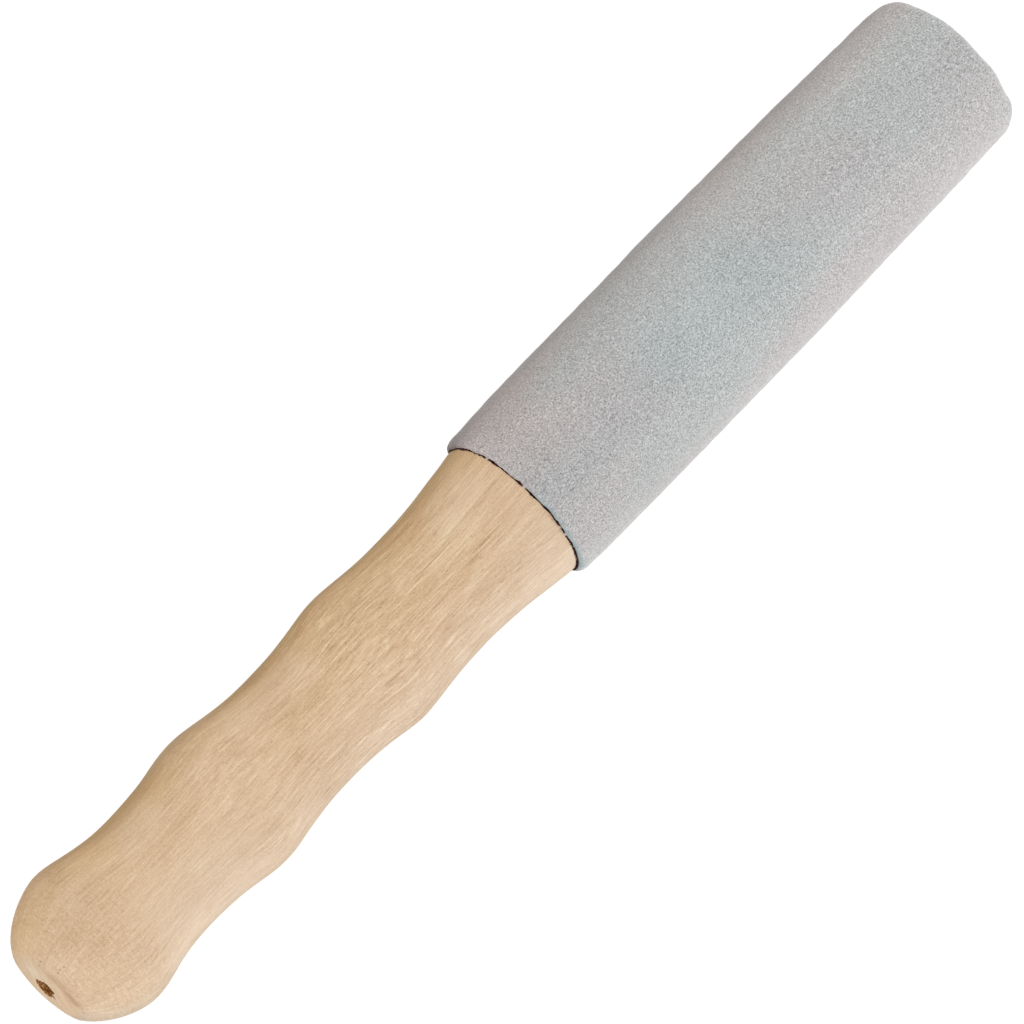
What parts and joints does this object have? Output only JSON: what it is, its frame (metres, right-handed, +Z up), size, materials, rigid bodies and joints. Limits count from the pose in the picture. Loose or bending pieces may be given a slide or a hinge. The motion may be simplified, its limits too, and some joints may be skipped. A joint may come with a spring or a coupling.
{
  "type": "singing bowl mallet",
  "caption": "Turned hardwood mallet with finger waists in its handle and a suede sleeve glued round its head, for striking and rubbing a singing bowl.",
  "frame": {"origin": "on the surface that the head rests on when the mallet lies on its side, below the middle of its length", "axes": "+X along the mallet from the butt to the tip, +Z up from the surface it lies on, +Y level across it"},
  "size_m": [0.27, 0.0384, 0.0384],
  "materials": {
    "hardwood": "pale straight-grained hardwood, turned and sanded smooth, no varnish",
    "contact_cement": "dried dark brown contact cement",
    "suede": "light grey split leather, short brushed nap"
  },
  "bodies": {
    "root": {"turned_body": "hardwood", "adhesive_film": "contact_cement", "suede_wrap": "suede"}
  },
  "joints": []
}
